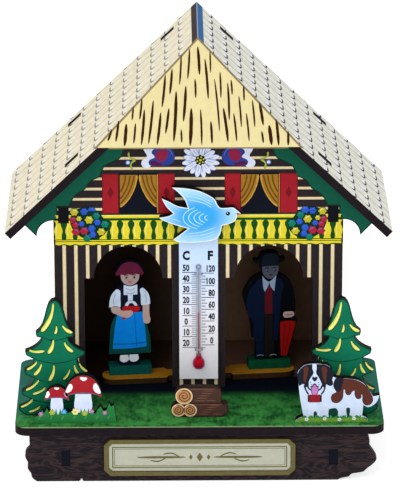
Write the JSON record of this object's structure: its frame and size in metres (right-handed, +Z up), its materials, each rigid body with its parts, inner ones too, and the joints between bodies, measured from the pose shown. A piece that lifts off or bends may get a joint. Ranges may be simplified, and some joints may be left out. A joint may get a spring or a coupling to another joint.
{
  "type": "weather house",
  "caption": "Chalet-shaped weather house of slotted sheets, with a thermometer on the front post and a figure beam that turns on a gut string behind arched doors.",
  "frame": {"origin": "middle of the footprint, on the table the base stands on", "axes": "+X to the right seen from the front, +Y from the yard to the back wall, +Z up"},
  "size_m": [0.1486, 0.0988, 0.1641],
  "materials": {
    "base_wood": "varnished",
    "plate_frame": "painted",
    "plate_panel": "painted",
    "ground": "printed",
    "front_wall": "printed",
    "back_wall": "plain",
    "side_wall": "plain",
    "roof_left": "printed",
    "roof_right": "printed",
    "hip": "printed",
    "ridge": "painted",
    "inner_wood": "plain",
    "card": "printed",
    "tube_glass": "clear",
    "liquid": "gloss",
    "wire": "bright",
    "bird": "printed",
    "tree": "printed",
    "mushrooms": "printed",
    "dog": "printed",
    "logs": "printed",
    "pin": "bright",
    "gut": "dry",
    "beam": "varnished",
    "stand": "painted",
    "woman": "printed",
    "man": "printed"
  },
  "bodies": {
    "house": {"base_front_board": "base_wood", "base_back_board": "base_wood", "base_rail_left": "base_wood", "base_rail_right": "base_wood", "name_plate_frame": "plate_frame", "name_plate_panel": "plate_panel", "ground_plate": "ground", "front_wall": "front_wall", "back_wall": "back_wall", "side_wall_left": "side_wall", "side_wall_right": "side_wall", "roof_left": "roof_left", "roof_right": "roof_right", "hip_panel": "hip", "ridge_bar": "ridge", "knob_bridge": "inner_wood", "bird_spacer": "inner_wood", "thermometer_card": "card", "thermometer_glass": "tube_glass", "thermometer_liquid": "liquid", "thermometer_clip_low": "wire", "thermometer_clip_high": "wire", "bird": "bird", "tree_left": "tree", "tree_right": "tree", "mushrooms": "mushrooms", "dog": "dog", "log_pile": "logs", "guide_pin": "pin"},
    "knob": {"adjusting_knob": "inner_wood", "knob_collar": "inner_wood"},
    "beam": {"figure_beam": "beam", "beam_hub": "inner_wood", "gut_string": "gut", "woman_stand": "stand", "woman": "woman", "man_stand": "stand", "man": "man"}
  },
  "joints": [
    {"name": "knob_turn", "type": "hinge", "parent": "house", "child": "knob", "pos_m": [0, 0.00155, 0], "axis": [0, 0, 1], "range_deg": [-6, 4]},
    {"name": "beam_swing", "type": "hinge", "parent": "knob", "child": "beam", "pos_m": [0, 0.00155, 0], "axis": [0, 0, 1], "range_deg": [-18, 8], "stiffness_Nm_per_rad": 0.002}
  ]
}
